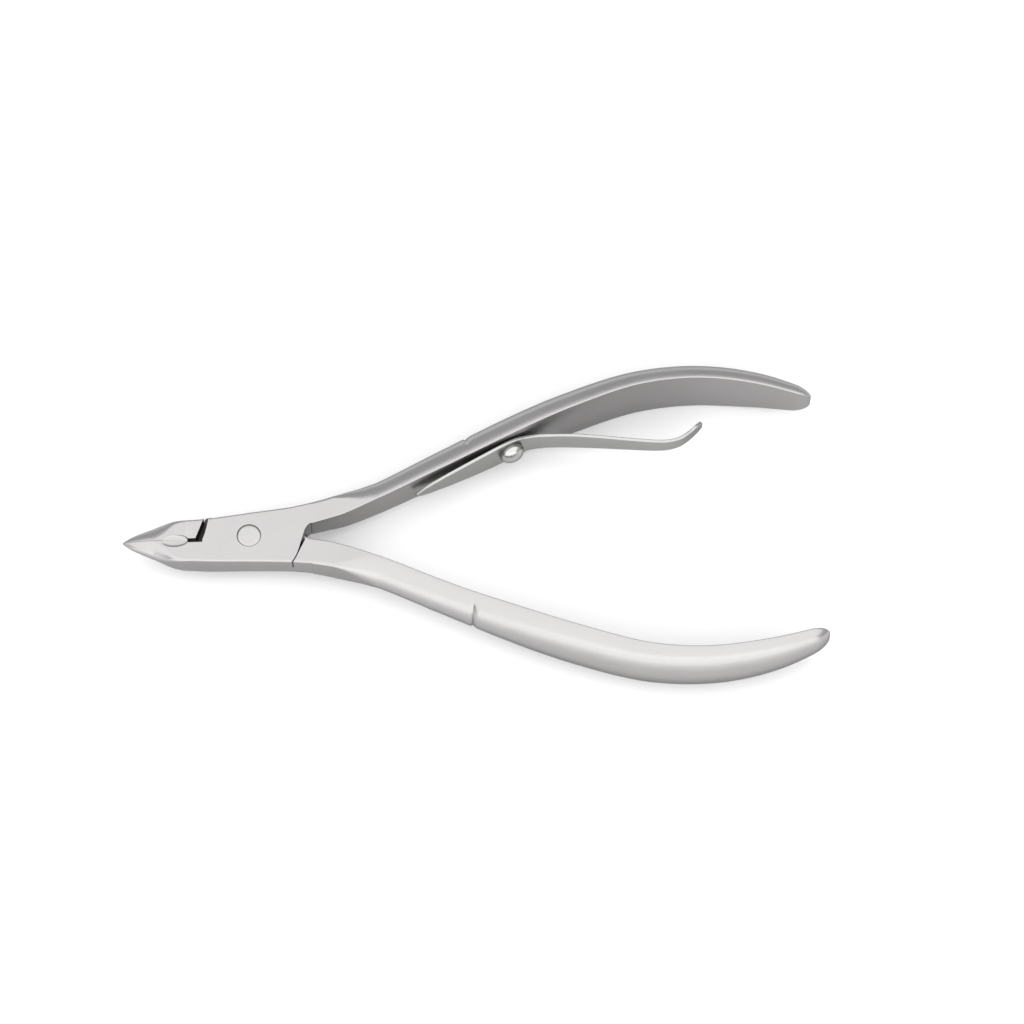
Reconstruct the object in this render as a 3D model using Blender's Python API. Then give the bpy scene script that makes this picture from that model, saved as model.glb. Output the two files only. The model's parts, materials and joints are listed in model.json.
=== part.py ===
"""Cuticle nipper: two forged levers in a lap joint with a flush rivet, and one riveted leaf spring.

The joint's rivet stands on the Z axis and the joint's back face lies in the plane Z = 0.
+X runs from the joint to the ends of the handles, and +Y is the side of the handle that carries the spring.
Sizes below are in millimetres and MM turns them into Blender's metres.
"""

import math

import bmesh
import bpy
import numpy as np
from mathutils import Matrix, Vector

MM = 0.001

# Joint: two half-thickness plates lie on each other around the rivet.
JOINT_THICK = 4.0
MID = JOINT_THICK / 2
LAP_CLEARANCE = 0.1
RUNNING_CLEARANCE = 0.05
TOUCH_GAP = 0.3
JAW_GAP = 0.1
PLATE_END_GAP = 0.5
PLATE_END_X = -6.9
PLATE_CORNER_X = -5.9
BLOCK_END_X = -9.1
PLATE_SWEEP_RADIUS = 7.05
SHOULDER_RADIUS = 7.7
SHOULDER_ARC_TOP = -1.9
SHOULDER_GAP = 0.25
EDGE_ROUND = 0.35
INNER_EDGE_ROUND = 0.15

# Joint rivet: a straight shank between two countersunk heads, ground flush with both faces.
RIVET_SHANK_RADIUS = 1.3
RIVET_HEAD_RADIUS = 1.75
RIVET_HEAD_DEPTH = 0.8

# Leaf spring and the rivet that holds it.
LEAF_THICK = 0.5
LEAF_BEND_AT = (40.8, 13.7)
SPRING_RIVET_X = 39.0
SPRING_RIVET_RADIUS = 0.8
SPRING_RIVET_HEAD_RADIUS = 1.9
SPRING_RIVET_HEAD_HEIGHT = 1.4
SPRING_RIVET_INSET = 0.12

# Ends of a lever along X.
JAW_TIP_X = -18.8
CROTCH_X = 9.3
HANDLE_END_X = 84.8
END_ROUND = 2.6
GROOVE_X = 33.0
GROOVE_DEPTH = 0.3
GROOVE_HALF_WIDTH = 0.28

# Shallow eye-shaped relief that is ground across both jaws behind their cutting edges.
RELIEF_CENTRE = (-11.0, -0.4, JOINT_THICK + 0.35)
RELIEF_HALF_SIZES = (2.2, 1.15, 1.4)

# How finely round shapes are faceted.
CORNER_STEPS = 6
ROUND_SIDES = 48


def curve_through(*points):
    """A smooth function of x through the given (x, y) points, straight beyond the first and the last."""
    xs, ys = np.array(points, float).T
    slopes = np.gradient(ys, xs)

    def at(x):
        i = int(np.clip(np.searchsorted(xs, x) - 1, 0, len(xs) - 2))
        step = xs[i + 1] - xs[i]
        t = (x - xs[i]) / step
        rise = ys[i + 1] - ys[i]
        left = slopes[i] * step
        right = slopes[i + 1] * step
        if t <= 0:
            return float(ys[i] + left * t)
        if t >= 1:
            return float(ys[i + 1] + right * (t - 1))
        bend = (left + right - 2 * rise) * t + (3 * rise - 2 * left - right)
        return float(ys[i] + t * (left + t * bend))

    return at


def line_through(*points):
    """A function of x made of straight pieces, level beyond the first and the last point."""
    xs, ys = np.array(points, float).T
    return lambda x: float(np.interp(x, xs, ys))


# Outlines of the front lever seen from the front, with x along the nipper.
jaw_line = curve_through((-18.8, 0.3), (-13.7, -0.05), (-9.1, -0.4), (-7, -0.45), (0, -0.22), (8, 0))
half_depth = curve_through(
    (-18.8, 0.12), (-17.7, 0.85), (-15.5, 1.85), (-13.3, 2.7), (-11.9, 3.08), (-10.4, 3.27),
    (-8.2, 3.33), (-5.7, 3.5), (0, 3.95), (3.5, 4.22), (6.5, 4.5), (9.3, 4.93),
)
plate_end = line_through((-6.9, -0.45), (-6.48, 0.66), (-6.24, 1.61), (-5.9, 3.05))
shoulder = line_through((7.46, SHOULDER_ARC_TOP), (8.25, 0.49), (8.7, 1.12), (9.3, 1.4))
handle_inner = curve_through(
    (9.3, 1.25), (12.8, 2.1), (19.5, 4.75), (28.3, 8.9), (37.3, 12.95),
    (48.6, 17.6), (59.3, 20.95), (66.3, 21.6), (75.8, 20.6), (84.8, 18.3),
)

# How far the crotch sits off the nipper's centre line, towards the spring's side.
crotch_offset = line_through((7.5, 0), (9.3, 0.3), (12, 0.3), (14, 0.18), (22, 0.14), (30, 0))

# How much wider the back lever's hidden plate is on its jaw's side.
back_plate_extra = line_through((-6.3, 0), (-6.1, 0.4), (3, 0.4), (7, 0))

# Sizes of the sections along the lever.
half_thick = curve_through(
    (-18.8, 0.15), (-17.5, 0.72), (-15.7, 1.25), (-13.7, 1.62), (-11.7, 1.84), (-9.8, 2.0),
    (0, 2.0), (7.8, 2.0), (10.8, 2.2), (13.4, 2.42), (16.3, 2.7), (18.8, 2.88), (22.3, 3.0),
    (27.8, 3.25), (33.8, 3.65), (37.8, 4.05), (42.8, 4.5), (47.8, 4.78), (52.8, 4.88), (68, 4.88),
    (72, 4.72), (76, 4.25), (79.5, 3.6), (82, 2.95), (84.8, 2.05),
)
handle_depth = curve_through(
    (9.3, 3.6), (21.8, 3.5), (28.8, 3.65), (37.8, 3.95), (49.8, 4.0), (61.8, 3.7),
    (67.8, 3.55), (73.8, 3.35), (79.3, 2.85), (84.8, 2.0),
)
handle_roundness = line_through((9.3, 0.12), (12.8, 0.14), (14.8, 0.4), (16.8, 0.75), (19.3, 1))
jaw_roundness = line_through((-13.2, 1), (-11.2, 0.62), (-9.6, 0.14), (-6.2, 0.1))
section_lean = line_through((CROTCH_X, 0), (14, 0.3), (36, 0.35), (50, 1))


def slope_angle(curve, x):
    return math.atan((curve(x + 0.5) - curve(x - 0.5)))


def box_section(low, high, back, front, low_round, high_round):
    """A closed ring of (across, z) points: a box whose corners are elliptical arcs of the given two radii."""
    ring = []
    corners = (
        (high, front, -1, -1, high_round, 90),
        (high, back, -1, 1, high_round, 0),
        (low, back, 1, 1, low_round, 90),
        (low, front, 1, -1, low_round, 0),
    )
    for across, z, across_sign, z_sign, (across_radius, z_radius), start in corners:
        for step in range(CORNER_STEPS + 1):
            turn = math.radians(start + 90 * step / CORNER_STEPS * (-1 if start else 1))
            ring.append(
                (
                    across + across_sign * across_radius * (1 - math.cos(turn)),
                    z + z_sign * z_radius * (1 - math.sin(turn)),
                )
            )
    return ring


def joint_station(x, side):
    """Section of the jaw and the joint plate at x. Side is 1 for the front lever and -1 for the back one."""
    middle = side * jaw_line(x)
    half = half_thick(x)
    low = middle - half_depth(x)
    high = middle + half_depth(x)
    if side < 0:
        low -= back_plate_extra(x)
    thin = min(0.05, half / 4)
    low_radii = (EDGE_ROUND, EDGE_ROUND)
    high_radii = (EDGE_ROUND, EDGE_ROUND)
    if x <= PLATE_END_X:
        gap = PLATE_END_GAP if x > BLOCK_END_X else JAW_GAP
        high = middle - gap / 2
        high_radii = (thin, thin)
    elif x < PLATE_CORNER_X:
        high = plate_end(x) + middle - jaw_line(x)
        high_radii = (thin, thin)
    if x < -6:
        share = jaw_roundness(x)
        low_radii = (share * (high - low - thin), share * half)
    if x > math.sqrt(SHOULDER_RADIUS**2 - low**2):
        low_radii = (thin, thin)
        round_edge = -math.sqrt(max(SHOULDER_RADIUS**2 - x**2, 0))
        straight_edge = shoulder(x) + side * crotch_offset(x)
        low = max(low, round_edge if round_edge < SHOULDER_ARC_TOP else straight_edge)
    ring = box_section(low, high, MID - half, MID + half, low_radii, high_radii)
    return [Vector((x, across, z)) for across, z in ring]


def handle_station(x, side):
    """Section of the shank and the grip at x: flat on the inside, rounded to a half oval on the outside."""
    slope = slope_angle(handle_inner, x)
    lean = section_lean(x) * slope
    across_direction = Vector((-math.sin(lean), math.cos(lean), 0))
    depth = handle_depth(x) / math.cos(slope - lean)
    half = half_thick(x)
    depth -= GROOVE_DEPTH * max(0, 1 - abs(x - GROOVE_X) / GROOVE_HALF_WIDTH)
    offset = side * crotch_offset(x)
    low = 0.0
    past = max(0, (x - (HANDLE_END_X - END_ROUND)) / END_ROUND)
    if past:
        shrink = math.sqrt(max(1 - past**2, 0.01))
        low = 0.3 * depth * (1 - shrink)
        depth -= 0.7 * depth * (1 - shrink)
        half *= shrink
    depth -= offset
    share = handle_roundness(x)
    inner_round = min(INNER_EDGE_ROUND, (depth - low) / 4, half / 4)
    inner_radii = (inner_round, inner_round)
    outer_radii = (share * (depth - low - inner_round), share * half)
    ring = box_section(low, depth, MID - half, MID + half, inner_radii, outer_radii)
    foot = Vector((x, handle_inner(x) + offset, 0))
    return [foot + across * across_direction + Vector((0, 0, z)) for across, z in ring]


def spread(start, end, step):
    """Evenly spaced values from start to just before end, no further apart than step."""
    count = max(1, math.ceil((end - start) / step - 1e-9))
    return [start + (end - start) * i / count for i in range(count)]


def lever_stations(side):
    joint_x = (
        spread(JAW_TIP_X, -17.4, 0.35)
        + spread(-17.4, BLOCK_END_X - 0.1, 0.8)
        + [BLOCK_END_X - 0.01, BLOCK_END_X + 0.01, -8.1]
        + spread(PLATE_END_X, PLATE_CORNER_X, 0.34)
        + [PLATE_CORNER_X - 0.01, PLATE_CORNER_X + 0.01]
        + spread(-5, 6, 2.2)
        + spread(6, 8.25, 0.25)
        + spread(8.25, CROTCH_X, 0.35)
    )
    groove_x = [GROOVE_X + edge * GROOVE_HALF_WIDTH for edge in (-1, 0, 1)]
    handle_x = (
        spread(CROTCH_X, 20, 1.2)
        + spread(20, groove_x[0], 2.2)
        + groove_x
        + spread(groove_x[-1] + 2, HANDLE_END_X - END_ROUND, 2.2)
        + [HANDLE_END_X - END_ROUND * (1 - turn) for turn in (0, 0.3, 0.55, 0.75, 0.89, 0.97, 1)]
    )
    return [joint_station(x, side) for x in joint_x] + [handle_station(x, side) for x in handle_x]


def mesh_from(name, points, faces):
    mesh = bpy.data.meshes.new(name)
    mesh.from_pydata([Vector(p) * MM for p in points], [], faces)
    shape = bmesh.new()
    shape.from_mesh(mesh)
    bmesh.ops.remove_doubles(shape, verts=shape.verts, dist=0.002 * MM)
    bmesh.ops.recalc_face_normals(shape, faces=shape.faces)
    shape.to_mesh(mesh)
    shape.free()
    return mesh


def add_object(name, mesh):
    obj = bpy.data.objects.new(name, mesh)
    bpy.context.scene.collection.objects.link(obj)
    return obj


def loft(name, rings):
    """One closed body through rings of equally many points."""
    count = len(rings[0])
    points = [p for ring in rings for p in ring]
    faces = [tuple(range(count)), tuple(range(len(points) - 1, len(points) - 1 - count, -1))]
    for i in range(len(rings) - 1):
        for j in range(count):
            k = (j + 1) % count
            faces.append((i * count + j, i * count + k, (i + 1) * count + k, (i + 1) * count + j))
    return add_object(name, mesh_from(name, points, faces))


def prism(name, outline, bottom, top):
    """An upright body over an outline of (x, y) points."""
    return loft(name, [[(x, y, z) for x, y in outline] for z in (bottom, top)])


def turned(name, profile, place=None):
    """A body turned about Z from (radius, z) points, then moved by the matrix place, in millimetres."""
    rings = []
    for radius, z in profile:
        turns = [2 * math.pi * i / ROUND_SIDES for i in range(ROUND_SIDES)]
        rings.append([Vector((radius * math.cos(a), radius * math.sin(a), z)) for a in turns])
    if place:
        rings = [[place @ p for p in ring] for ring in rings]
    return loft(name, rings)


def cut(body, cutter):
    """Takes the cutter's shape out of the body, and keeps the cutter as a hidden guide."""
    modifier = body.modifiers.new("cut_" + cutter.name, "BOOLEAN")
    modifier.operation = "DIFFERENCE"
    modifier.solver = "EXACT"
    modifier.object = cutter
    cutter.hide_render = True
    cutter.display_type = "WIRE"


def half_turn():
    """Half a turn about the nipper's long centre line, which swaps front and back, and upper and lower."""
    middle = Vector((0, 0, MID))
    return Matrix.Translation(middle) @ Matrix.Rotation(math.pi, 4, "X") @ Matrix.Translation(-middle)


def arc(radius, start, end, count):
    """Points on an arc about the rivet, from one angle in degrees to another."""
    turns = [math.radians(start + (end - start) * i / count) for i in range(count + 1)]
    return [(radius * math.cos(turn), radius * math.sin(turn)) for turn in turns]


def joint_pocket(name, jaw_edge):
    """Cutter for the half of the joint where the other plate turns, up to the given edge of the jaw."""
    shoulder_arc = arc(SHOULDER_RADIUS + SHOULDER_GAP, 46, 22, 6)
    outline = jaw_edge + [(-8.3, 1), (-8.3, 8), (5, 8)] + shoulder_arc
    outline += [(8.43, 0.8), (8.75, -0.9), (8.75, -7)]
    return prism(name, outline, -2, MID + LAP_CLEARANCE / 2)


def rivet_profile(clearance, beyond):
    """Half profile of the joint rivet, from the back face to the front face, grown by a clearance."""
    shank = RIVET_SHANK_RADIUS + clearance
    head = RIVET_HEAD_RADIUS + clearance
    flare = (RIVET_HEAD_RADIUS - RIVET_SHANK_RADIUS) / RIVET_HEAD_DEPTH * beyond
    return [
        (head + flare, -beyond),
        (shank, RIVET_HEAD_DEPTH),
        (shank, JOINT_THICK - RIVET_HEAD_DEPTH),
        (head + flare, JOINT_THICK + beyond),
    ]


def relief_ball(name):
    """Stretched ball that grinds the eye-shaped relief into the front of the closed jaws."""
    shape = bmesh.new()
    bmesh.ops.create_icosphere(shape, subdivisions=3, radius=1)
    for vert in shape.verts:
        stretched = [c * half for c, half in zip(vert.co, RELIEF_HALF_SIZES)]
        vert.co = (Vector(RELIEF_CENTRE) + Vector(stretched)) * MM
    mesh = bpy.data.meshes.new(name)
    shape.to_mesh(mesh)
    shape.free()
    return add_object(name, mesh)


def spring_rivet_place():
    """Matrix that lays the spring rivet's own Z axis through the leaf and out through the handle."""
    slope = slope_angle(handle_inner, SPRING_RIVET_X)
    foot = Vector((SPRING_RIVET_X, handle_inner(SPRING_RIVET_X), MID))
    out = Vector((-math.sin(slope), math.cos(slope), 0))
    along = Vector((math.cos(slope), math.sin(slope), 0))
    axes = Matrix((along, Vector((0, 0, -1)), out)).transposed().to_4x4()
    return Matrix.Translation(foot) @ axes


def move_origin(obj, x, y):
    """Puts the object's origin on the upright axis at (x, y) and leaves its shape in place."""
    offset = Vector((x, y, 0)) * MM
    obj.data.transform(Matrix.Translation(-offset))
    obj.location = offset


def shade_round(obj, sharp_degrees=35):
    obj.data.shade_smooth()
    obj.data.set_sharp_from_angle(angle=math.radians(sharp_degrees))


def front_lever():
    """Lower jaw, front joint plate and the upper handle, in one forging."""
    lever = loft("front_lever", lever_stations(1))
    jaw_edge = [(-5.6, -7)] + arc(PLATE_SWEEP_RADIUS, 218, 180, 6)
    cut(lever, joint_pocket("front_pocket_cutter", jaw_edge))
    cut(lever, turned("front_bore_cutter", rivet_profile(RUNNING_CLEARANCE, 0.5)))
    cut(lever, relief_ball("front_relief_cutter"))
    hole = SPRING_RIVET_RADIUS + RUNNING_CLEARANCE
    cut(lever, turned("spring_hole_cutter", [(hole, -1), (hole, 6)], spring_rivet_place()))
    return lever


def back_lever():
    """Upper jaw, back joint plate and the lower handle: the same forging turned over."""
    turn = half_turn()
    rings = [[turn @ p for p in ring] for ring in lever_stations(-1)]
    lever = loft("back_lever", rings)
    jaw_edge = [(-5.4, -7), (-5.4, -5.1), (-6.9, -2.85), (-7.54, -1), (-7.97, 0.2)]
    pocket = joint_pocket("back_pocket_cutter", jaw_edge)
    middle = Vector((0, 0, MID * MM))
    pocket.matrix_world = (
        Matrix.Translation(middle) @ Matrix.Rotation(math.pi, 4, "X") @ Matrix.Translation(-middle)
    )
    cut(lever, pocket)
    cut(lever, turned("back_bore_cutter", rivet_profile(RUNNING_CLEARANCE, 0.5)))
    cut(lever, relief_ball("back_relief_cutter"))
    return lever


def joint_rivet():
    """The rivet the levers turn on, with both heads ground flush."""
    return turned("joint_rivet", rivet_profile(0, 0))


# Middle line of the leaf in the XY plane, from its pointed tail to its curled free end.
leaf_line = (
    (24.9, 6.4), (28.9, 8.25), (32.9, 10.07), (36.4, 11.65), (39.4, 13.1), (41.2, 13.85), (43, 14.25),
    (45.4, 14.4), (48.8, 14.25), (52.8, 13.87), (57.3, 13.34), (60.8, 12.97), (62.9, 12.97), (64.6, 13.38),
    (66, 14.25), (67.1, 15.22), (68, 16.1),
)
leaf_width = line_through(
    (24.8, 1.4), (31.8, 4.4), (36.3, 5.6), (39.8, 5.7), (42.8, 4.2), (49.8, 4.0),
    (57.8, 3.3), (63.8, 2.8), (68, 2.3),
)


def leaf_spring():
    """Tapered leaf with a hole for its rivet: tail on the handle, free end curled towards it."""
    rings = []
    for i, (x, y) in enumerate(leaf_line):
        ahead = Vector(leaf_line[min(i + 1, len(leaf_line) - 1)])
        behind = Vector(leaf_line[max(i - 1, 0)])
        along = (ahead - behind).normalized()
        out = Vector((-along.y, along.x))
        half = leaf_width(x) / 2
        corners = ((-1, -1), (-1, 1), (1, 1), (1, -1))
        rings.append(
            [
                Vector((x, y, MID)) + Vector((out.x * side, out.y * side, 0)) * LEAF_THICK / 2
                + Vector((0, 0, up * half))
                for side, up in corners
            ]
        )
    leaf = loft("leaf_spring", rings)
    move_origin(leaf, *LEAF_BEND_AT)
    hole = SPRING_RIVET_RADIUS + RUNNING_CLEARANCE
    cut(leaf, turned("leaf_hole_cutter", [(hole, -3), (hole, 1)], spring_rivet_place()))
    return leaf


def spring_rivet():
    """Domed rivet that clamps the leaf to the handle, its far end dressed flush with the handle's back."""
    base = -(2 * TOUCH_GAP + LEAF_THICK)
    profile = []
    for step in range(7):
        turn = math.radians(90 * step / 7)
        profile.append(
            (
                SPRING_RIVET_HEAD_RADIUS * math.cos(turn),
                base - SPRING_RIVET_HEAD_HEIGHT * math.sin(turn),
            )
        )
    far_end = handle_depth(SPRING_RIVET_X) - SPRING_RIVET_INSET
    outline = profile[::-1] + [(SPRING_RIVET_RADIUS, base), (SPRING_RIVET_RADIUS, far_end)]
    return turned("spring_rivet", outline, spring_rivet_place())


def steel(name, colour, roughness):
    material = bpy.data.materials.new(name)
    material.use_nodes = True
    shader = material.node_tree.nodes["Principled BSDF"]
    shader.inputs["Base Color"].default_value = (*colour, 1)
    shader.inputs["Metallic"].default_value = 1
    shader.inputs["Roughness"].default_value = roughness
    return material


def main():
    for obj in list(bpy.data.objects):
        bpy.data.objects.remove(obj)
    levers = [front_lever(), back_lever()]
    satin = steel("satin_steel", (0.68, 0.67, 0.66), 0.34)
    for lever in levers:
        lever.data.materials.append(satin)
        shade_round(lever)
    for piece, name, roughness in (
        (joint_rivet(), "ground_rivet_steel", 0.3),
        (leaf_spring(), "spring_steel", 0.26),
        (spring_rivet(), "polished_rivet_steel", 0.18),
    ):
        piece.data.materials.append(steel(name, (0.7, 0.69, 0.68), roughness))
        shade_round(piece)


main()
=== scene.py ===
# %% [markdown]
# # A cuticle nipper in satin stainless steel
#
# This lesson dresses a finished mechanical model. Here each one gets the fine shape and the metal finish that
# the hand tool has in real life. Keeping the two jobs apart means that the mechanism can't be spoiled by work
# on the looks.

import json
import math

import bmesh
import bpy
import numpy as np
from mathutils import Matrix, Vector


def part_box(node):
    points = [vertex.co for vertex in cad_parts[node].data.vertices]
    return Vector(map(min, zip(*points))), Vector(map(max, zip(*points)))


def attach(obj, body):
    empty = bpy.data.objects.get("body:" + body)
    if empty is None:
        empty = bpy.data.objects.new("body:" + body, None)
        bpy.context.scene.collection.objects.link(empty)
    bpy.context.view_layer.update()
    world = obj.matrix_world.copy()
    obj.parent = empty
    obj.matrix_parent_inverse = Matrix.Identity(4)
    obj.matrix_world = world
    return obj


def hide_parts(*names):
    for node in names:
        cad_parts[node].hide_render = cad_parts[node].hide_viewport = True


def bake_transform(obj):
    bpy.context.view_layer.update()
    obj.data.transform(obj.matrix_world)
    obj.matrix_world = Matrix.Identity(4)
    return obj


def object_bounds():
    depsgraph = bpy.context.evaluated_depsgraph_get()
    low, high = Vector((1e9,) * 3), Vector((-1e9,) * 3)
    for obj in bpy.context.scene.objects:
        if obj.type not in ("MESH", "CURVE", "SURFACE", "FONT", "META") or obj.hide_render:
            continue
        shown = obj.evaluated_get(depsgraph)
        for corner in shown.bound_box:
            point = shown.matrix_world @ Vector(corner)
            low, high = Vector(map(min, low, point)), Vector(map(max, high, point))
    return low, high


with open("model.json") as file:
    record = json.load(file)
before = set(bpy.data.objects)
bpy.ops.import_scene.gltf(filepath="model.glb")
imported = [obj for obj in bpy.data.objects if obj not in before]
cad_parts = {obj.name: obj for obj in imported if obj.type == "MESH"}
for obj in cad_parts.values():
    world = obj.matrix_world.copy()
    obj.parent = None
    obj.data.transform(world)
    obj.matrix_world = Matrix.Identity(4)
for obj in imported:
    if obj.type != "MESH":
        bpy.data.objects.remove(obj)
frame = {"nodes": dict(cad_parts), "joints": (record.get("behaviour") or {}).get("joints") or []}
plain_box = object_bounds()
print("nodes:", sorted(frame["nodes"]))

# %% [markdown]
# ## Where the rivet stands
#
# The joint rivet is the heart of a nipper: both levers turn about it. Its box gives the joint's thickness, so the
# fine pieces below follow the frame and need no second set of measurements for it. Outlines are written in
# millimetres, which are easier to read, and turned into metres when a mesh is made.

# %% Measure the joint
MM = 0.001
rivet_low, rivet_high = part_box("joint_rivet")
joint_thick = (rivet_high.z - rivet_low.z) / MM
mid = joint_thick / 2
rivet_radius = (rivet_high.x - rivet_low.x) / 2 / MM
print(f"joint {joint_thick:.2f} mm thick, rivet head {2 * rivet_radius:.2f} mm across")

# %% [markdown]
# ## Camera
#
# The tool lies on its back and is seen from high above and a little from the lower handle's side. A long lens from
# over half a metre away keeps both handles nearly the same size, as in a catalogue. The camera looks down by about
# three quarters of a right angle, and the tool is turned by a few degrees under it. The three directions of the
# view are worked out first, because a camera's matrix is nothing more than those directions side by side.

# %% Aim the camera
VIEW_HEIGHT_DEG = 66.0
TOOL_TURN_DEG = 2.5
VIEW_DISTANCE = 0.6
VIEW_CENTRE = Vector((0.0390, 0.00207, joint_thick * MM))
LENS_LENGTH_MM, SENSOR_WIDTH_MM = 142.4, 36

height = math.radians(VIEW_HEIGHT_DEG)
turn = math.radians(TOOL_TURN_DEG)
towards_camera = Vector(
    (-math.cos(height) * math.sin(turn), -math.cos(height) * math.cos(turn), math.sin(height))
)
camera_right = Vector((math.cos(turn), -math.sin(turn), 0))
camera_up = towards_camera.cross(camera_right)
camera_turn = Matrix((camera_right, camera_up, towards_camera)).transposed().to_4x4()

lens = bpy.data.cameras.new("camera")
lens.lens, lens.sensor_width, lens.clip_start = LENS_LENGTH_MM, SENSOR_WIDTH_MM, 0.01
camera = bpy.data.objects.new("camera", lens)
bpy.context.scene.collection.objects.link(camera)
camera.matrix_world = Matrix.Translation(VIEW_CENTRE + towards_camera * VIEW_DISTANCE) @ camera_turn
bpy.context.scene.camera = camera
print("camera at", [round(c, 3) for c in camera.location])

# %% [markdown]
# ## Shader maths
#
# Writing a node tree by hand hides the idea under wiring. Two small classes keep it readable. Nodes adds a node of
# any kind in one call. Value wraps a socket, so that a mask or a grain is written as an ordinary expression, and
# every operator adds the Math node that it stands for.

# %% Classes for nodes and for sockets in an expression
class Nodes:
    """The node tree of one material."""

    def __init__(self, material):
        self.tree = material.node_tree

    def feed(self, socket, value):
        """Gives a socket a link or a plain value."""
        if isinstance(value, Value):
            value = value.socket
        if isinstance(value, bpy.types.NodeSocket):
            self.tree.links.new(value, socket)
        else:
            socket.default_value = value

    def add(self, kind, settings, sockets):
        """Adds a node: its settings first, then its sockets by name or by number."""
        node = self.tree.nodes.new(kind)
        for name, value in settings.items():
            setattr(node, name, value)
        for key, value in sockets.items():
            self.feed(node.inputs[key], value)
        return node


class Value:
    """A number that varies over a surface. Its operators add Math nodes."""

    def __init__(self, nodes, socket):
        self.nodes, self.socket = nodes, socket

    def math(self, operation, *numbers, clamped=False):
        settings = {"operation": operation, "use_clamp": clamped}
        node = self.nodes.add("ShaderNodeMath", settings, dict(enumerate(numbers)))
        return Value(self.nodes, node.outputs[0])

    def __add__(self, other):
        return self.math("ADD", self, other)

    def __sub__(self, other):
        return self.math("SUBTRACT", self, other)

    def __rsub__(self, other):
        return self.math("SUBTRACT", other, self)

    def __mul__(self, other):
        return self.math("MULTIPLY", self, other)

    __radd__ = __add__
    __rmul__ = __mul__

    def abs(self):
        return self.math("ABSOLUTE", self)

    def clamp(self):
        return self.math("MULTIPLY", self, 1, clamped=True)


print("shader classes ready")

# %% [markdown]
# ## What satin steel shows
#
# Satin steel is not flat grey. It is a metal whose roughness wanders a little from place to place, with a fine
# grain of polishing lines that run along the part, fine handling scratches, and edges that rub brighter and
# smoother than the faces. The faces that lie up are ground, and the sides are a little rougher. The sides also get
# a painted shade, a darker colour chosen by a mask of the surface's direction, and the hollows get a painted shade
# as well. The numbers below say how strongly each of these shows. Noise sizes are per metre, so 9000 gives lines
# about a tenth of a millimetre apart. The glancing tint takes back part of the mirror shine that metal has at a
# shallow angle, since satin scatters it.

# %% Strengths of the steel's details
# The first pair sets the mask of upright faces: the sides outside it get a painted shade and more roughness.
UPRIGHT_FROM, UPRIGHT_GAIN = 0.36, 3.4
WORN_FROM, WORN_GAIN = 0.515, 14
# The hollow mask paints shade into concave places and makes them a little rougher.
HOLLOW_BELOW, HOLLOW_GAIN = 0.455, 10
SCRATCH_FROM, SCRATCH_GAIN = 0.68, 3
CLOUD_SIZE, PATCH_SIZE, GRAIN_SIZE, FINE_GRAIN_SIZE, SCRATCH_SIZE = 160, 620, 9000, 22000, 3800

# The hollow entry of SHADE is how much painted shade darkens the hollows.
SHADE = {"base": 0.865, "clouds": 0.10, "patches": 0.05, "grain": 0.12, "worn": 0.04, "hollow_painted_shade_and_dulling": 0.25}
ROUGH = {"side": 0.06, "clouds": 0.10, "grain": 0.10, "scratches": 0.05, "worn": 0.10, "hollow_painted_shade_and_dulling": 0.10}
BUMP = {"grain": 0.6, "fine_grain": 0.4, "scratches": 0.8}
# Painted shade: the sides are painted at this share of an upright face's brightness.
SIDE_PAINTED_SHADE = 0.80
GLANCING_TINT = (0.4, 0.4, 0.4, 1)
MEAN_GRAIN_ROUGH = 0.1
BUMP_STRENGTH, BUMP_HEIGHT = 0.3, 0.00002
# The darker tone of the sides printed here is a painted shade by the surface's direction.
print("a forged side has", SIDE_PAINTED_SHADE, "of a ground face's brightness")
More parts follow.
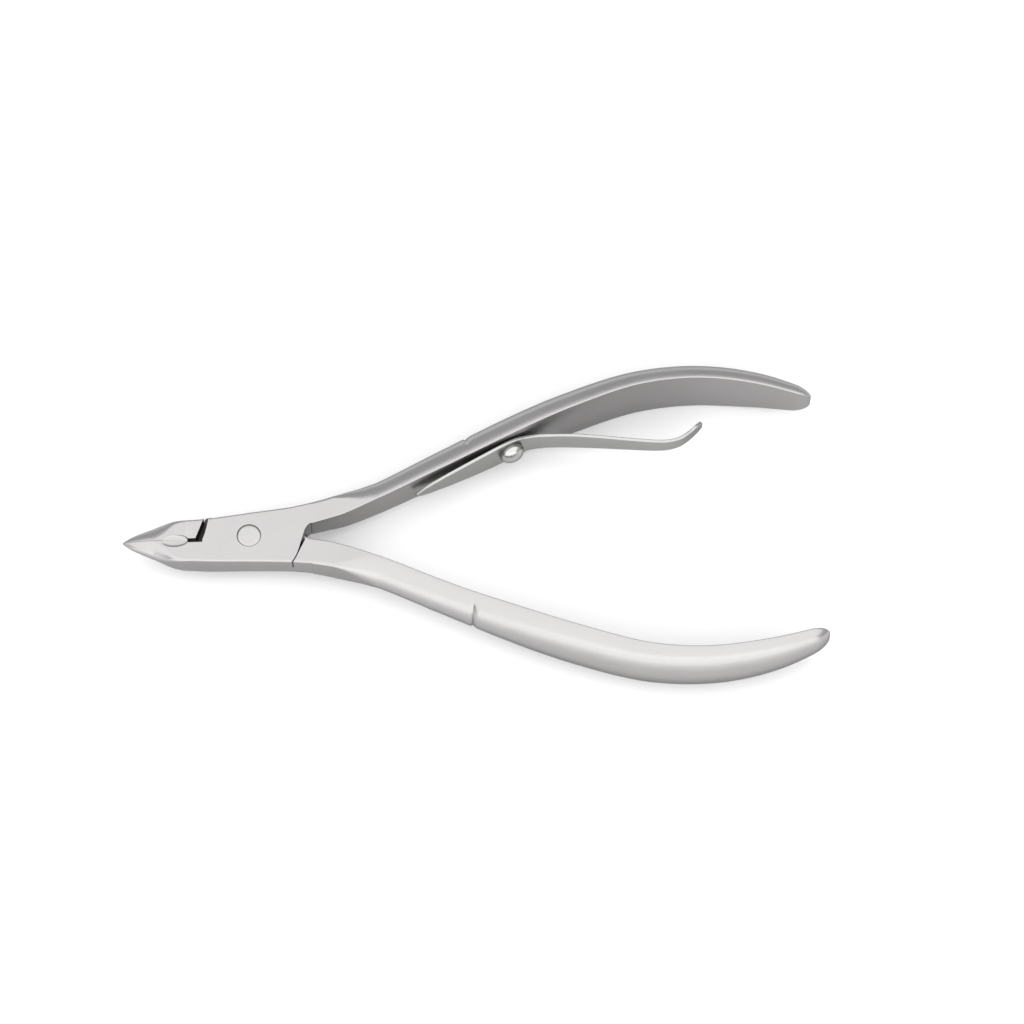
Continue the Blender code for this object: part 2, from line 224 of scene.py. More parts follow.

# %% [markdown]
# ## One recipe for every steel
#
# The grain is noise stretched along the tool, the wandering is a soft noise, and the worn edges and the hollows
# come from Pointiness, which measures the surface's own curvature: the hollows are made duller and get a painted
# shade. Every steel on the tool is the same recipe with another colour, roughness and direction of grain, so one
# function makes them all.

# %% The steel recipe
def steel(name, colour, roughness, grain=1.0, grain_along=(0.03, 1, 1), wear=0.5):
    material = bpy.data.materials.new(name)
    material.use_nodes = True
    nodes = Nodes(material)
    shader = nodes.tree.nodes["Principled BSDF"]
    shader.inputs["Metallic"].default_value = 1.0
    shader.inputs["Specular Tint"].default_value = GLANCING_TINT
    place = nodes.add("ShaderNodeTexCoord", {}, {}).outputs

    def noise(scale, detail, stretch=(1, 1, 1), rough=0.55):
        mapping = nodes.add("ShaderNodeMapping", {}, {"Vector": place["Object"], "Scale": stretch})
        sockets = {"Vector": mapping.outputs[0], "Scale": scale, "Detail": detail, "Roughness": rough}
        return Value(nodes, nodes.add("ShaderNodeTexNoise", {}, sockets).outputs["Fac"])

    upright = nodes.add("ShaderNodeSeparateXYZ", {}, {"Vector": place["Normal"]}).outputs["Z"]
    # Painted shade by direction: faces that turn away from up are painted darker, and they are also made rougher.
    ground_and_painted_light = ((Value(nodes, upright).abs() - UPRIGHT_FROM) * UPRIGHT_GAIN).clamp()
    edge = Value(nodes, nodes.add("ShaderNodeNewGeometry", {}, {}).outputs["Pointiness"])
    worn = ((edge - WORN_FROM) * WORN_GAIN).clamp() * wear
    # Painted shade in the hollows, which are also made a little duller.
    hollow_painted_shade_and_dulling = ((HOLLOW_BELOW - edge) * HOLLOW_GAIN).clamp()

    clouds = noise(CLOUD_SIZE, 4)
    patches = noise(PATCH_SIZE, 3)
    lines = noise(GRAIN_SIZE, 2, grain_along)
    fine_lines = noise(FINE_GRAIN_SIZE, 1, grain_along)
    scratches = (noise(SCRATCH_SIZE, 1, (0.06, 1, 1), 0.4) - SCRATCH_FROM).clamp() * SCRATCH_GAIN

    shade_of = clouds * SHADE["clouds"] + patches * SHADE["patches"] + lines * (SHADE["grain"] * grain)
    # Painted shade: the hollows are darkened here.
    shade_of = shade_of + SHADE["base"] + worn * SHADE["worn"] - hollow_painted_shade_and_dulling * SHADE["hollow_painted_shade_and_dulling"]
    # Painted shade: the sides are darkened here by their direction.
    bright = (shade_of * (SIDE_PAINTED_SHADE + ground_and_painted_light * (1 - SIDE_PAINTED_SHADE))).clamp()
    grey = nodes.add("ShaderNodeCombineColor", {}, {"Red": bright, "Green": bright, "Blue": bright})
    factor_socket, first_colour, second_colour, result_colour = 0, 6, 7, 2
    tint = nodes.add(
        "ShaderNodeMix", {"data_type": "RGBA", "blend_type": "MULTIPLY"},
        {factor_socket: 1.0, first_colour: (*colour, 1), second_colour: grey.outputs[0]},
    )
    nodes.feed(shader.inputs["Base Color"], tint.outputs[result_colour])

    rough = (1 - ground_and_painted_light) * ROUGH["side"] + clouds * ROUGH["clouds"] + lines * (ROUGH["grain"] * grain)
    rough = rough + scratches * ROUGH["scratches"] - worn * ROUGH["worn"] + hollow_painted_shade_and_dulling * ROUGH["hollow_painted_shade_and_dulling"]
    nodes.feed(shader.inputs["Roughness"], rough + (roughness - MEAN_GRAIN_ROUGH))

    relief = lines * BUMP["grain"] + fine_lines * BUMP["fine_grain"] - scratches * BUMP["scratches"]
    bump = nodes.add(
        "ShaderNodeBump", {}, {"Height": relief, "Strength": BUMP_STRENGTH * grain, "Distance": BUMP_HEIGHT}
    )
    nodes.feed(shader.inputs["Normal"], bump.outputs[0])
    print("made", name)
    return material


# %% [markdown]
# ## The finishes of this tool
#
# The levers have the satin finish, with its grain along the tool. The joint rivet was ground together with the
# plates, and its grain is shorter. The strip of the spring is a little brighter and the domed rivet is nearly
# polished. The pockets inside the joint get a near-black, rough steel, which is a painted shade for the deep slots
# where the two plates overlap.

# %% Make the finishes
satin_steel = steel("satin_steel", (0.455, 0.448, 0.446), 0.30)
ground_rivet_steel = steel("ground_rivet_steel", (0.468, 0.464, 0.455), 0.27, 0.6, (0.5, 1, 1))
spring_steel = steel("spring_steel", (0.49, 0.487, 0.483), 0.26, 0.5)
polished_rivet_steel = steel("polished_rivet_steel", (0.52, 0.517, 0.512), 0.24, 0.3, (1, 1, 1))
# Painted shade: a near-black steel for the pocket faces inside the joint, where the plates shade each other.
pocket_painted_shade_steel = steel("pocket_painted_shade_steel", (0.075, 0.073, 0.070), 0.55, 1.5, (1, 0.2, 1))

# %% [markdown]
# ## Smooth outlines
#
# A forged lever has no straight generator: its outline, thickness and roundness all change along its length. The
# simplest honest description is a handful of measured points for each of them and a smooth curve through the
# points. A cubic Hermite curve passes through every point and needs no solving, so it suits a short script. Where
# a shape has real corners, straight pieces are used instead, because a smooth curve would swing past them.

# %% Curves through measured points
def curve_through(*points):
    """A smooth function of x through (x, y) points, straight beyond the first and the last."""
    xs, ys = np.array(points, float).T
    slopes = np.gradient(ys, xs)

    def at(x):
        i = int(np.clip(np.searchsorted(xs, x) - 1, 0, len(xs) - 2))
        step = xs[i + 1] - xs[i]
        t = (x - xs[i]) / step
        rise = ys[i + 1] - ys[i]
        left, right = slopes[i] * step, slopes[i + 1] * step
        if t <= 0:
            return float(ys[i] + left * t)
        if t >= 1:
            return float(ys[i + 1] + right * (t - 1))
        bend = (left + right - 2 * rise) * t + (3 * rise - 2 * left - right)
        return float(ys[i] + t * (left + t * bend))

    return at


def line_through(*points):
    """A function of x made of straight pieces, level beyond its ends."""
    xs, ys = np.array(points, float).T
    return lambda x: float(np.interp(x, xs, ys))


print("halfway up a smooth step:", curve_through((0, 0), (1, 1), (2, 1))(0.5))

# %% [markdown]
# ## The jaw and the plate
#
# Both levers come from the same kind of forging: a beak-like half jaw, a flat half-thickness plate at the joint, a
# slim shank and a wide bowed grip. The curves here hold the jaw and the plate, with x measured from the rivet. The
# cutting edges meet on the jaw line, the plate stops in a slanted end just behind the jaw's block, and a round
# shoulder leads from the plate into the shank.

# %% Outlines of the jaw and the plate
JAW_TIP, BLOCK_END, PLATE_END, PLATE_CORNER, CROTCH = -18.8, -9.1, -6.9, -5.9, 9.3
SHOULDER_RADIUS, SHOULDER_ARC_TOP = 7.7, -1.9

jaw_line = curve_through((-18.8, 0.3), (-13.7, -0.05), (-9.1, -0.4), (-7, -0.45), (0, -0.22), (8, 0))
half_depth = curve_through(
    (-18.8, 0.12), (-17.7, 0.85), (-15.5, 1.85), (-13.3, 2.7), (-11.9, 3.08), (-10.4, 3.27),
    (-8.2, 3.33), (-5.7, 3.5), (0, 3.95), (3.5, 4.22), (6.5, 4.5), (9.3, 4.93),
)
jaw_roundness = curve_through(
    (-18.8, 1), (-14.2, 1), (-12.6, 0.64), (-11.2, 0.2), (-9.8, 0.04), (-8.6, 0), (-6, 0)
)
plate_end = line_through((-6.9, -0.45), (-6.48, 0.66), (-6.24, 1.61), (-5.9, 3.05))
shoulder = line_through((7.46, SHOULDER_ARC_TOP), (8.25, 0.49), (8.7, 1.12), (9.3, 1.4))
crotch_offset = line_through((7.5, 0), (9.3, 0.3), (12, 0.3), (14, 0.18), (22, 0.14), (30, 0))
back_plate_extra = line_through(
    (-6.68, 0), (-6.66, 0.5), (-6.5, 0.8), (-6.1, 0.9), (-5.5, 0.9), (-4.5, 0.7), (-2, 0.4), (3, 0.4), (7, 0)
)
print(f"jaw from {JAW_TIP} to {BLOCK_END} mm, plate from {PLATE_END} mm")

# %% [markdown]
# ## The shank and the grip
#
# The grip is a half oval, flat towards the palm side and round outside, which is why it is described by a
# thickness, a depth and how round its outer corners are. It is thickest where the palm closes on it. Towards their
# ends both handles thin out and rise a little to the front, which end_lift holds. The back lever is turned over
# when it is finished, so its sections are lifted the other way first.

# %% Outlines of the grip
HANDLE_END, END_ROUND, GROOVE = 84.45, 2.6, 33.0

handle_inner = curve_through(
    (9.3, 1.25), (12.8, 2.1), (19.5, 4.75), (28.3, 8.9), (37.3, 12.95),
    (48.6, 17.6), (59.3, 20.95), (66.3, 21.6), (75.8, 20.6), (84.8, 18.3),
)
half_thick = curve_through(
    (-18.8, 0.15), (-17.5, 0.72), (-15.7, 1.25), (-13.7, 1.62), (-11.7, 1.84), (-9.8, 2.0),
    (0, 2.0), (7.8, 2.0), (10.8, 2.2), (13.4, 2.42), (16.3, 2.7), (18.8, 2.88), (22.3, 3.0),
    (27.8, 3.25), (33.8, 3.65), (37.8, 4.05), (42.8, 4.5), (47.8, 4.78), (52.8, 4.88), (68, 4.88),
    (72, 4.72), (76, 4.27), (79.5, 3.68), (82, 3.15), (84.8, 2.5),
)
handle_depth = curve_through(
    (9.3, 3.6), (21.8, 3.5), (28.8, 3.65), (37.8, 3.95), (49.8, 4.0), (61.8, 3.7),
    (67.8, 3.55), (73.8, 3.35), (79.3, 2.85), (84.8, 2.0),
)
handle_roundness = line_through((9.3, 0.12), (12.8, 0.14), (14.8, 0.4), (16.8, 0.75), (19.3, 1))
section_lean = line_through((CROTCH, 0), (14, 0.3), (36, 0.35), (50, 1))
end_lift = line_through((70, 0), (75, 0.08), (80, 0.28), (84.8, 0.6))
print(f"handle from {CROTCH} to {HANDLE_END} mm")

# %% [markdown]
# ## One section of a lever
#
# Every section is a box with elliptical corners. Where the corner arcs are small it reads as a flat ground plate,
# and where the outer arcs meet in the middle it becomes the half oval of the grip. The grinding leaves a short
# straight land beside each corner, so each flat also gets a point just inside its ends: without them smooth
# shading would tilt the whole flat and make it look like a pillow.

# %% Build a ring of points
CORNER_STEPS = 10
LAND = 0.06


def land(flat):
    """The land beside a corner, at most a third of a short flat."""
    return min(LAND, max(flat, 0) / 3)


def box_ring(low, high, back, front, low_radii, high_radii):
    """(across, z) points round a box with elliptical corners, with a land point beside each corner."""
    across_land = land(high - low - low_radii[0] - high_radii[0])
    ring = []
    for across, z, across_sign, z_sign, (across_radius, z_radius), face_first in (
        (high, front, -1, -1, high_radii, True),
        (high, back, -1, 1, high_radii, False),
        (low, back, 1, 1, low_radii, True),
        (low, front, 1, -1, low_radii, False),
    ):
        points = []
        for step in range(CORNER_STEPS + 1):
            angle = math.pi / 2 * step / CORNER_STEPS
            points.append((
                across + across_sign * across_radius * (1 - math.cos(angle)),
                z + z_sign * z_radius * (1 - math.sin(angle)),
            ))
        (side_across, side_z), (face_across, face_z) = points[0], points[-1]
        points.insert(0, (side_across, side_z + z_sign * land(front - back - 2 * z_radius)))
        points.append((face_across + across_sign * across_land, face_z))
        ring += reversed(points) if face_first else points
    return ring


print("points in one ring:", len(box_ring(0, 4, 0, 4, (0.3, 0.3), (0.3, 0.3))))

# %% [markdown]
# ## Sections of the jaw and the plate
#
# The jaw and the plate are cut square to the tool. Side is 1 for the lever whose plate shows in front and -1 for
# the other one, which is the same lever turned over. The jaw's outer corners grow rounder towards the tip, its
# cutting side stays sharp, and behind the cutting edge it stands back a little so that the jaws only meet there.

# %% Sections square to the tool
EDGE_ROUND = 0.3
THIN_EDGE = 0.05
CUTTING_GAP = 0.012
GAP_BEHIND_CUTTING = 0.6


def joint_ring(x, side):
    middle = side * jaw_line(x)
    half = half_thick(x)
    low, high = middle - half_depth(x), middle + half_depth(x)
    if side < 0:
        low -= back_plate_extra(x)
    thin = min(THIN_EDGE, half / 4)
    low_radii = high_radii = (EDGE_ROUND, EDGE_ROUND)
    if x <= PLATE_END:
        high = middle - (GAP_BEHIND_CUTTING if x > BLOCK_END else CUTTING_GAP) / 2
        high_radii = (thin, thin)
    elif x < PLATE_CORNER:
        high = plate_end(x) + middle - jaw_line(x)
        high_radii = (thin, thin)
    if x < PLATE_CORNER:
        share = min(1, max(0, jaw_roundness(x)))
        edge = min(EDGE_ROUND, half)
        low_radii = (edge + share * (high - low - thin - edge), edge + share * (half - edge))
    if x > math.sqrt(SHOULDER_RADIUS**2 - low**2):
        low_radii = (thin, thin)
        round_edge = -math.sqrt(max(SHOULDER_RADIUS**2 - x**2, 0))
        straight_edge = shoulder(x) + side * crotch_offset(x)
        low = max(low, round_edge if round_edge < SHOULDER_ARC_TOP else straight_edge)
    ring = box_ring(low, high, mid - half, mid + half, low_radii, high_radii)
    return [(x, across, z) for across, z in ring]


print("jaw thickness at the block:", 2 * half_thick(BLOCK_END))

# %% [markdown]
# ## Sections of the grip
#
# The grip's sections lean with the bow of the handle, because a half oval looks crushed when it is cut at a slant.
# A thumb stop crosses the outer side: a shallow groove with a steep wall towards the joint and a soft ramp behind
# it. It fades out before it reaches the flat inner side. The last stretch shrinks along a quarter circle, so the
# handle ends in a blunt round.

# %% Sections that lean with the bow
INNER_EDGE_ROUND = 0.14
GROOVE_DEPTH, GROOVE_WALL, GROOVE_RAMP, GROOVE_FADE = 0.3, 0.3, 0.9, 0.25
END_FLAT, END_INNER_SHARE, END_THICK_SHARE = 0.004, 0.4, 0.5


def groove_depth(x):
    past = x - GROOVE
    if past < 0:
        return GROOVE_DEPTH * max(0, 1 + past / GROOVE_WALL)
    return GROOVE_DEPTH * max(0, 1 - past / GROOVE_RAMP) ** 2


def inner_slope(x):
    return math.atan(handle_inner(x + 0.5) - handle_inner(x - 0.5))


def handle_ring(x, side):
    slope = inner_slope(x)
    lean = section_lean(x) * slope
    depth = handle_depth(x) / math.cos(slope - lean)
    half = half_thick(x)
    low = 0.0
    past = max(0, (x - (HANDLE_END - END_ROUND)) / END_ROUND)
    if past:
        shrink = math.sqrt(max(1 - past**2, END_FLAT))
        low = END_INNER_SHARE * depth * (1 - shrink)
        depth *= END_INNER_SHARE + (1 - END_INNER_SHARE) * shrink
        half *= END_THICK_SHARE + (1 - END_THICK_SHARE) * shrink
    offset = side * crotch_offset(x)
    depth -= offset
    share = handle_roundness(x)
    inner = min(INNER_EDGE_ROUND, (depth - low) / 4, half / 4)
    centre = mid + side * end_lift(x)
    outer_radii = (share * (depth - low - inner), share * half)
    points = []
    foot = handle_inner(x) + offset
    for across, z in box_ring(low, depth, centre - half, centre + half, (inner, inner), outer_radii):
        outward = max(0, (across - low) / (depth - low) - GROOVE_FADE) / (1 - GROOVE_FADE)
        across -= groove_depth(x) * min(1, 2 * outward)
        points.append((x - math.sin(lean) * across, foot + math.cos(lean) * across, z))
    return points


print(f"grip thickness in the palm: {2 * half_thick(60):.2f} mm")

# %% [markdown]
# ## All the sections of a lever
#
# Sections are close together where the shape turns quickly, at the tip, the plate's end, the shoulder and the
# groove, and wide apart along the grip, so that the mesh spends its faces where they show. Two sections a hair
# apart make a crisp step.

# %% Place the sections
HAIR = 0.01
END_SECTIONS = 12


def spread(start, end, step):
    """Even places from start up to, but not including, end."""
    count = max(1, math.ceil((end - start) / step - 1e-9))
    return [start + (end - start) * i / count for i in range(count)]


def lever_rings(side):
    joint_x = (
        spread(JAW_TIP, -17.4, 0.12) + spread(-17.4, BLOCK_END - 0.1, 0.16)
        + [BLOCK_END - HAIR, BLOCK_END + HAIR, -8.1]
        + spread(PLATE_END, PLATE_CORNER, 0.05)
        + [PLATE_CORNER - HAIR, PLATE_CORNER + HAIR]
        + spread(-5, 6, 1.1) + spread(6, 8.25, 0.09) + spread(8.25, CROTCH, 0.1)
    )
    end_angles = [math.pi / 2 * i / END_SECTIONS for i in range(END_SECTIONS + 1)]
    handle_x = (
        spread(CROTCH, 20, 0.3) + spread(20, GROOVE - 0.4, 0.7)
        + spread(GROOVE - 0.4, GROOVE + 1.0, 0.1)
        + spread(GROOVE + 1.0, HANDLE_END - END_ROUND, 0.7)
        + [HANDLE_END - END_ROUND * (1 - math.sin(angle)) for angle in end_angles]
    )
    return [joint_ring(x, side) for x in joint_x] + [handle_ring(x, side) for x in handle_x]


rings = {side: lever_rings(side) for side in (1, -1)}
print("sections in each lever:", len(rings[1]))

# %% [markdown]
# ## Rings into a solid
#
# A loft joins each ring to the next with a band of faces and closes both ends. Blender has a bridge tool for this,
# but when every ring has the same number of points the faces can simply be counted out, which is faster and exact.
# A turned part, such as a rivet, is a loft too, whose rings are circles. Points that fall together are merged, so
# that no face without area is left.

# %% Loft and turned body
MERGE_DISTANCE = 0.0015 * MM


def add_mesh(name, points, faces):
    mesh = bpy.data.meshes.new(name)
    mesh.from_pydata([Vector(p) * MM for p in points], [], faces)
    shape = bmesh.new()
    shape.from_mesh(mesh)
    bmesh.ops.remove_doubles(shape, verts=shape.verts, dist=MERGE_DISTANCE)
    bmesh.ops.recalc_face_normals(shape, faces=shape.faces)
    shape.to_mesh(mesh)
    shape.free()
    obj = bpy.data.objects.new(name, mesh)
    bpy.context.scene.collection.objects.link(obj)
    return obj


def loft(name, rings):
    count = len(rings[0])
    points = [p for ring in rings for p in ring]
    faces = [tuple(range(count)), tuple(range(len(points) - 1, len(points) - 1 - count, -1))]
    for i in range(len(rings) - 1):
        for j in range(count):
            k = (j + 1) % count
            faces.append((i * count + j, i * count + k, (i + 1) * count + k, (i + 1) * count + j))
    return add_mesh(name, points, faces)


def turned(name, profile, place=Matrix.Identity(4), sides=96):
    """Turns (radius, height) points about an upright axis and moves the result to its place."""
    angles = [2 * math.pi * i / sides for i in range(sides)]
    return loft(name, [
        [place @ Vector((radius * math.cos(a), radius * math.sin(a), z)) for a in angles] for radius, z in profile
    ])


print("loft and lathe ready")

# %% [markdown]
# ## Cutting and shading
#
# Pockets and bores are cut with Boolean modifiers, which are applied at once, so the finished mesh doesn't depend
# on the cutter any more. The transfer setting lets a cutter leave its own material on the faces that it cuts, and
# the pocket cutter leaves the near-black steel that paints shade into the joint. Shading is smooth except across
# real edges, which are found by their angle.

# %% Cut, dress and shade
def cut(body, *cutters):
    """Takes each cutter's shape out of the body and then removes the cutter."""
    for cutter in cutters:
        modifier = body.modifiers.new("cut", "BOOLEAN")
        modifier.operation, modifier.solver, modifier.object = "DIFFERENCE", "EXACT", cutter
        modifier.material_mode = "TRANSFER"
        bpy.context.view_layer.update()
        graph = bpy.context.evaluated_depsgraph_get()
        mesh = bpy.data.meshes.new_from_object(body.evaluated_get(graph))
        body.modifiers.clear()
        old, body.data = body.data, mesh
        bpy.data.meshes.remove(old)
        bpy.data.objects.remove(cutter)
    body.data.name = body.name


def dress(obj, finish):
    """Gives a bare solid or cutter its finish."""
    obj.data.materials.append(finish)
    return obj


def shade(obj, sharp_degrees=32):
    obj.data.shade_smooth()
    obj.data.set_sharp_from_angle(angle=math.radians(sharp_degrees))
    print(f"{obj.name}: {len(obj.data.polygons)} faces")


print("cutting and shading ready")

# %% [markdown]
# ## The pocket and the bore
#
# Two tools work on the raw forging first. A mill sinks the pocket in which the other lever's plate turns: its edge
# at the jaw leaves room for the plate's end, and its round edge at the shoulder lets the plate swing past. A drill
# makes the bore for the rivet and widens it to a cone on both faces.

# %% Pocket and bore
PLATE_SWEEP_RADIUS = 7.05
SHOULDER_CUT_RADIUS = 7.87
LAP_GAP = 0.02
POCKET_BELOW = -2
SHANK_RADIUS, HEAD_DEPTH = 1.3, 0.8
BORE_CLEARANCE, BORE_BEYOND = 0.05, 0.5


def arc(radius, start, end, count):
    angles = [math.radians(start + (end - start) * i / count) for i in range(count + 1)]
    return [(radius * math.cos(a), radius * math.sin(a)) for a in angles]


def pocket(jaw_edge, place=Matrix.Identity(4)):
    outline = jaw_edge + [(-8.3, 1), (-8.3, 8), (5, 8)] + arc(SHOULDER_CUT_RADIUS, 46, 22, 24)
    outline += [(8.4, 0.8), (8.75, -0.9), (8.75, -7)]
    levels = (POCKET_BELOW, mid + LAP_GAP / 2)
    return loft("pocket", [[place @ Vector((x, y, z)) for x, y in outline] for z in levels])


def rivet_profile(grow, beyond):
    """(radius, height) points of the rivet, grown on all sides, with its cones carried on beyond the faces."""
    shank, head = SHANK_RADIUS + grow, rivet_radius + grow
    flare = (rivet_radius - SHANK_RADIUS) / HEAD_DEPTH * beyond
    return [(head + flare, -beyond), (shank, HEAD_DEPTH), (shank, joint_thick - HEAD_DEPTH),
            (head + flare, joint_thick + beyond)]


print("rivet profile:", [(round(r, 2), round(z, 2)) for r, z in rivet_profile(0, 0)])

# %% [markdown]
# ## The relief behind the cutting edges
#
# An eye-shaped hollow lies across both jaws behind their cutting edges, and it was ground while they were closed.
# It is a shallow pan with a flat floor and rounded walls, so the cutter is a stack of ovals that shrink with
# depth, slowly at first and then fast.

# %% The relief cutter
RELIEF_CENTRE = Vector((-11.0, -0.4, joint_thick))
RELIEF_HALF_SIZES = (2.08, 1.0)
RELIEF_POINTS = 72
RELIEF_WALL = (
    (0.02, -0.3), (0.0, 0.0), (-0.03, 0.09), (-0.09, 0.18), (-0.18, 0.25), (-0.32, 0.29), (-0.5, 0.30)
)


def relief_cutter():
    rings = []
    for grow, depth in RELIEF_WALL:
        half_x, half_y = (half + grow for half in RELIEF_HALF_SIZES)
        angles = [2 * math.pi * i / RELIEF_POINTS for i in range(RELIEF_POINTS)]
        rings.append([
            RELIEF_CENTRE + Vector((half_x * math.cos(a), half_y * math.sin(a), -depth)) for a in angles
        ])
    return loft("relief", rings)


print("relief depth:", RELIEF_WALL[-1][1])

# %% [markdown]
# ## The two levers
#
# The front lever is the lower jaw, the plate that shows and the upper handle. The back lever is the same forging
# turned over: upper jaw, hidden plate and lower handle. Each is lofted, cut and shaded on its own, and then
# replaces its plain solid in the frame. The two pockets differ only in the edge that they leave at the jaw.

# %% Build the levers
FRONT_POCKET_EDGE = [(-5.6, -7)] + arc(PLATE_SWEEP_RADIUS, 218, 180, 12)
BACK_POCKET_EDGE = [(-6.66, -7), (-6.68, -3.0), (-6.74, -2.8), (-7.46, -1), (-7.94, 0.2)]
half_turn = Matrix.Translation((0, 0, mid)) @ Matrix.Rotation(math.pi, 4, "X") @ Matrix.Translation((0, 0, -mid))


def make_lever(name, rings, pocket_cutter):
    lever = dress(loft(name, rings), satin_steel)
    bore = turned("bore", rivet_profile(BORE_CLEARANCE, BORE_BEYOND))
    # The pocket cutter leaves its near-black painted shade on the faces it cuts.
    cut(lever, dress(pocket_cutter, pocket_painted_shade_steel), dress(bore, satin_steel), dress(relief_cutter(), satin_steel))
    shade(lever)
    return lever


turned_over = [[half_turn @ Vector(p) for p in ring] for ring in rings[-1]]
front_lever = make_lever("front_lever_fine", rings[1], pocket(FRONT_POCKET_EDGE))
back_lever = make_lever("back_lever_fine", turned_over, pocket(BACK_POCKET_EDGE, half_turn))

for lever, node in ((front_lever, "front_lever"), (back_lever, "back_lever")):
    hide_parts(node)
    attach(lever, node)

# %% [markdown]
# ## The joint rivet
#
# After riveting, both ends are ground flush with the plates, and a hair-fine circle is all that shows. A turned
# profile with a tiny rounded edge at each end gives that circle: the rounding and the running clearance beside it
# catch no light, so the ring draws itself.

# %% Turn the joint rivet
HEAD_EDGE = ((0.5, 0), (0.24, 0), (0.13, 0.02), (0.05, 0.08), (0.06, 0.14))
head_end = [(rivet_radius - inset, depth) for inset, depth in HEAD_EDGE]
other_end = [(radius, joint_thick - depth) for radius, depth in reversed(head_end)]
profile = head_end + rivet_profile(0, 0)[1:3] + other_end
joint_rivet = dress(turned("joint_rivet_fine", profile), ground_rivet_steel)
shade(joint_rivet)
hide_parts("joint_rivet")
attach(joint_rivet, "front_lever")

# %% [markdown]
# ## The leaf spring's shape
#
# The spring is stamped from strip: a long pointed tail that lies on the handle, a wide waist for its rivet, and a
# slim arm that ends in a curl. Its side view is a line of points and its width is a curve along them. A
# Catmull-Rom curve makes the line smooth and still passes through every point.

# %% Line and width of the leaf
LEAF_THICK, LEAF_EDGE_ROUND = 0.5, 0.12
leaf_points = [
    (24.9, 6.4), (28.9, 8.25), (32.9, 10.12), (36.4, 11.81), (39.4, 13.31), (41.2, 14.02), (43, 14.34),
    (45.4, 14.4), (48.8, 14.25), (52.8, 13.87), (57.3, 13.34), (60.8, 12.97), (62.9, 12.97), (64.6, 13.38),
    (66, 14.25), (67.1, 15.22), (68, 16.1),
]
leaf_half_width = curve_through(
    (24.9, 0.35), (26.2, 1.0), (28.5, 1.6), (31.8, 2.2), (35, 2.62), (38, 2.84), (40, 2.7), (42, 2.2),
    (44, 2.05), (49.8, 2.0), (54, 1.82), (57.8, 1.65), (63.8, 1.4), (66.5, 1.22), (67.5, 1.1), (68, 0.75),
)


def smooth_path(points, pieces):
    """Catmull-Rom points through the given ones, the given number of pieces for each span."""
    ends = [2 * Vector(points[0]) - Vector(points[1])] + [Vector(p) for p in points]
    ends.append(2 * Vector(points[-1]) - Vector(points[-2]))
    path = []
    for i in range(1, len(ends) - 2):
        a, b, c, d = ends[i - 1 : i + 3]
        for step in range(pieces):
            t = step / pieces
            path.append(
                0.5 * (2 * b + (c - a) * t + (2 * a - 5 * b + 4 * c - d) * t**2 + (3 * b - a - 3 * c + d) * t**3)
            )
    return path + [ends[-2]]


leaf_path = smooth_path(leaf_points, 8)
print("points along the leaf:", len(leaf_path))

# %% [markdown]
# ## The leaf spring
#
# The strip is swept along its line with rounded long edges and takes the place of the plain leaf, which is
# hidden. The place of the leaf_bend joint is read from the frame, but the leaf is left as one fixed shape, tied to
# neither lever.

# %% Sweep the leaf
def leaf_rings(path):
    rings = []
    for i, here in enumerate(path):
        along = (path[min(i + 1, len(path) - 1)] - path[max(i - 1, 0)]).normalized()
        out = Vector((-along.y, along.x))
        half = leaf_half_width(here.x)
        radii = (LEAF_EDGE_ROUND, min(LEAF_EDGE_ROUND, half / 3))
        ring = box_ring(-LEAF_THICK / 2, LEAF_THICK / 2, mid - half, mid + half, radii, radii)
        rings.append([(here.x + out.x * across, here.y + out.y * across, z) for across, z in ring])
    return rings


leaf = dress(loft("leaf_spring_fine", leaf_rings(leaf_path)), spring_steel)
shade(leaf, 40)
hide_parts("leaf_spring")
leaf_hinge = next(j for j in frame["joints"] if j["name"] == "leaf_bend")["pos_m"]
leaf_hinge[0] - 0.001
leaf_hinge[0] + 0.012
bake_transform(leaf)

# %% [markdown]
# ## The spring's rivet
#
# A round-headed rivet holds the leaf. Its head is a low dome with a short rim under it, where the setting tool
# pressed it onto the leaf, and its far end is dressed down to the handle's round back. It stands square to the
# handle's inner side, so its axis comes from the slope of that side.

# %% Turn the spring rivet
SPRING_RIVET_X, SPRING_RIVET_RADIUS = 39.0, 0.8
DOME_RADIUS, DOME_HEIGHT, DOME_ABOVE_HANDLE = 1.9, 1.4, 1.1
DOME_DEGREES = (89, 84, 78, 71, 64, 57, 50, 43, 36, 29, 22, 15, 8, 0)
RIM = ((0.04, 0.1), (0.16, 0.42))
RIM_END, FAR_END_INSET = 0.44, 0.12

slope = inner_slope(SPRING_RIVET_X)
rivet_foot = Vector((SPRING_RIVET_X, handle_inner(SPRING_RIVET_X), mid))
axes = ((math.cos(slope), math.sin(slope), 0), (0, 0, -1), (-math.sin(slope), math.cos(slope), 0))
rivet_place = Matrix.Translation(rivet_foot) @ Matrix(axes).transposed().to_4x4()
base = -DOME_ABOVE_HANDLE
dome = [
    (DOME_RADIUS * math.cos(math.radians(a)), base - DOME_HEIGHT * math.sin(math.radians(a)))
    for a in DOME_DEGREES
]
shank = [(DOME_RADIUS - inset, base + depth) for inset, depth in RIM]
shank += [(SPRING_RIVET_RADIUS, base + RIM_END),
          (SPRING_RIVET_RADIUS, handle_depth(SPRING_RIVET_X) - FAR_END_INSET)]
spring_rivet = dress(turned("spring_rivet_fine", dome + shank, rivet_place, 64), polished_rivet_steel)
shade(spring_rivet, 50)
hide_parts("spring_rivet")
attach(spring_rivet, "front_lever")
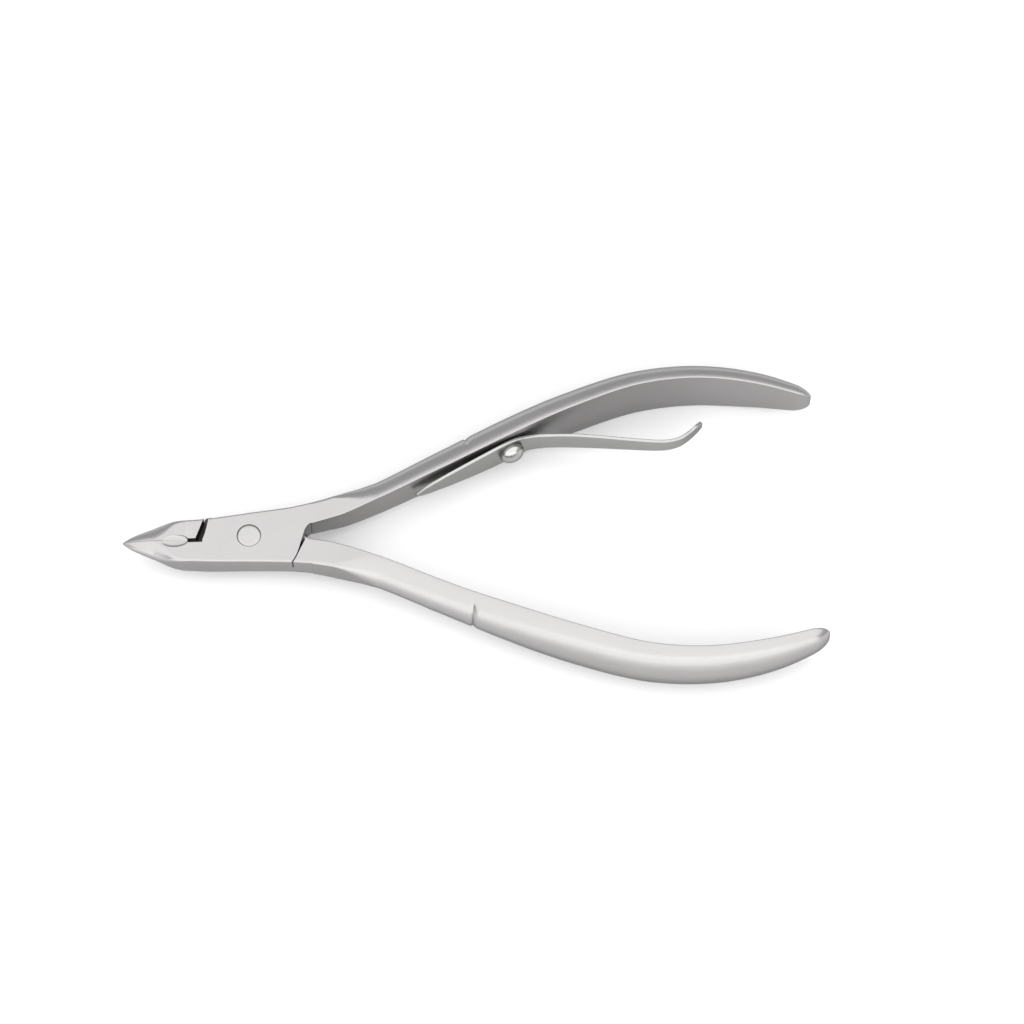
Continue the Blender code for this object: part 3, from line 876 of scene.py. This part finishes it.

# %% [markdown]
# ## Floor and sky
#
# The tool lies on a wide sheet of white paper, a hair below its lowest point. An even white sky fills the shadows,
# as the walls of a white room would.

# %% Floor and world
FLOOR_GAP, FLOOR_HALF = 0.0001, 2
floor_level = plain_box[0][2] - FLOOR_GAP
floor_corners = [(x * FLOOR_HALF, y * FLOOR_HALF, floor_level) for x, y in ((-1, -1), (1, -1), (1, 1), (-1, 1))]
floor_mesh = bpy.data.meshes.new("floor")
floor_mesh.from_pydata(floor_corners, [], [(0, 1, 2, 3)])
floor = bpy.data.objects.new("floor", floor_mesh)
bpy.context.scene.collection.objects.link(floor)
paper = bpy.data.materials.new("white_paper")
paper.use_nodes = True
paper_shader = paper.node_tree.nodes["Principled BSDF"]
paper_shader.inputs["Base Color"].default_value = (0.93, 0.93, 0.93, 1)
paper_shader.inputs["Roughness"].default_value = 0.9
floor_mesh.materials.append(paper)

world = bpy.data.worlds.new("studio")
bpy.context.scene.world = world
world.use_nodes = True
sky = world.node_tree.nodes["Background"]
sky.inputs["Color"].default_value = (1.0, 1.0, 1.0, 1)
sky.inputs["Strength"].default_value = 0.6
print(f"floor at {floor_level / MM:.2f} mm")

# %% [markdown]
# ## Light
#
# Polished metal shows its surroundings more than itself, so the light is part of the finish. A wide soft panel
# overhead gives the flat faces an even tone, and an upright panel in front of the tool, as a white wall would be,
# lights the sides that face the camera. Both are made from a brightness and a size, because that is what a mirror
# sees, and the power follows from them. The Standard view is chosen since the default one greys white paper.

# %% Two soft panels
def panel(name, centre, aim, size, radiance):
    light = bpy.data.lights.new(name, "AREA")
    light.shape, light.size, light.size_y = "RECTANGLE", size[0], size[1]
    light.energy = radiance * math.pi * size[0] * size[1]
    obj = bpy.data.objects.new(name, light)
    bpy.context.scene.collection.objects.link(obj)
    obj.location = centre
    obj.rotation_euler = (Vector(centre) - Vector(aim)).to_track_quat("Z", "Y").to_euler()
    print(f"{name}: {light.energy:.1f} W")


panel("overhead", (0.0, -0.35, 0.9), (0.0, -0.35, 0.0), (3.0, 1.9), 1.12)
panel("front_wall", (0.0, -1.25, 0.49), (0.0, 0.0, 0.49), (3.4, 0.95), 1.28)
bpy.context.scene.view_settings.view_transform = "Standard"

# %% [markdown]
# ## Print the plain box
#
# Fine pieces may not change the tool's size. The last line prints the box of the plain model.

# %% Measure and finish
bpy.context.view_layer.update()
print("plain box", plain_box)
